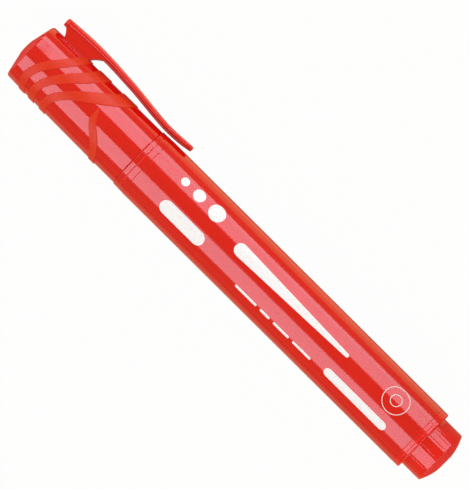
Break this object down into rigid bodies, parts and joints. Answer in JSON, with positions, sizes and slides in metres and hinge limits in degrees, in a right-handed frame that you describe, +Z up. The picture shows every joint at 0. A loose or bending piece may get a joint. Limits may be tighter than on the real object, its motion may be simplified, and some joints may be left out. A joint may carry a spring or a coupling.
{
  "type": "permanent marker",
  "caption": "Red bullet-tip marker lying on its side: round barrel, fluted end plug, and a pull-off cap with raised wavy bands and a springy pocket clip.",
  "frame": {"origin": "under the middle of the bounding box, on the surface that the capped marker lies on", "axes": "+X along the marker's axis from the end plug to the cap; +Z up, with the marker lying on its barrel and on the edge of its clip, which points towards -Y and slopes down"},
  "size_m": [0.138, 0.0208, 0.017],
  "materials": {
    "barrel_red": "gloss",
    "plug_red": "gloss",
    "holder_red": "gloss",
    "felt_red": "matte",
    "fibre_red": "matte",
    "film_white": "satin",
    "liner_white": "satin",
    "cap_red": "gloss",
    "clip_red": "gloss"
  },
  "bodies": {
    "marker_body": {"barrel": "barrel_red", "end_plug": "plug_red", "nib_holder": "holder_red", "nib": "felt_red", "ink_reservoir": "fibre_red", "reservoir_film": "film_white"},
    "liner": {"cap_liner": "liner_white"},
    "cap": {"cap_shell": "cap_red"},
    "clip": {"clip_arm": "clip_red"}
  },
  "joints": [
    {"name": "cap_pull", "type": "slide", "parent": "marker_body", "child": "liner", "axis": [1, 0, 0], "range_m": [0, 0.045]},
    {"name": "cap_turn", "type": "hinge", "parent": "liner", "child": "cap", "pos_m": [0.05, 0.00188, 0.0085], "axis": [-1, 0, 0], "continuous": true},
    {"name": "clip_flex", "type": "hinge", "parent": "cap", "child": "clip", "pos_m": [0.0529, -0.00803, 0.00307], "axis": [0, -0.4804, 0.8771], "range_deg": [0, 6], "stiffness_Nm_per_rad": 0.4}
  ]
}
